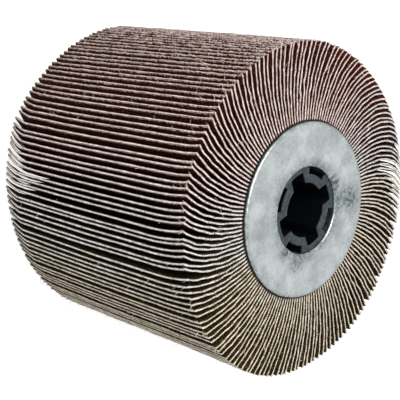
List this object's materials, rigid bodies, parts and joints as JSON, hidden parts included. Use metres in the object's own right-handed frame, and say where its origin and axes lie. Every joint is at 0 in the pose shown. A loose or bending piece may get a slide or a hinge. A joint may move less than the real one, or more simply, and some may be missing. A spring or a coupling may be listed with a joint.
{
  "type": "flap wheel",
  "caption": "Keyed abrasive cloth flap drum for a burnishing machine, two steel end flanges, plastic bushes",
  "frame": {"origin": "on the drum's axis, in the plane of the rear flange's outer face, on which it stands", "axes": "+Z along the spindle axis, out of the pictured front end; +X along one keyway, +Y along the next"},
  "size_m": [0.1159, 0.1175, 0.1024],
  "materials": {
    "abrasive_cloth": "coated with brown grain, cut edges pale",
    "wound_paper": "wound paper, resin soaked",
    "zinc_plate": "dull zinc plate, mottled",
    "black_plastic": "moulded, dark grey"
  },
  "bodies": {
    "root": {"flap_pack": "abrasive_cloth", "core_tube": "wound_paper", "front_flange": "zinc_plate", "rear_flange": "zinc_plate", "front_bush": "black_plastic", "rear_bush": "black_plastic"}
  },
  "joints": []
}
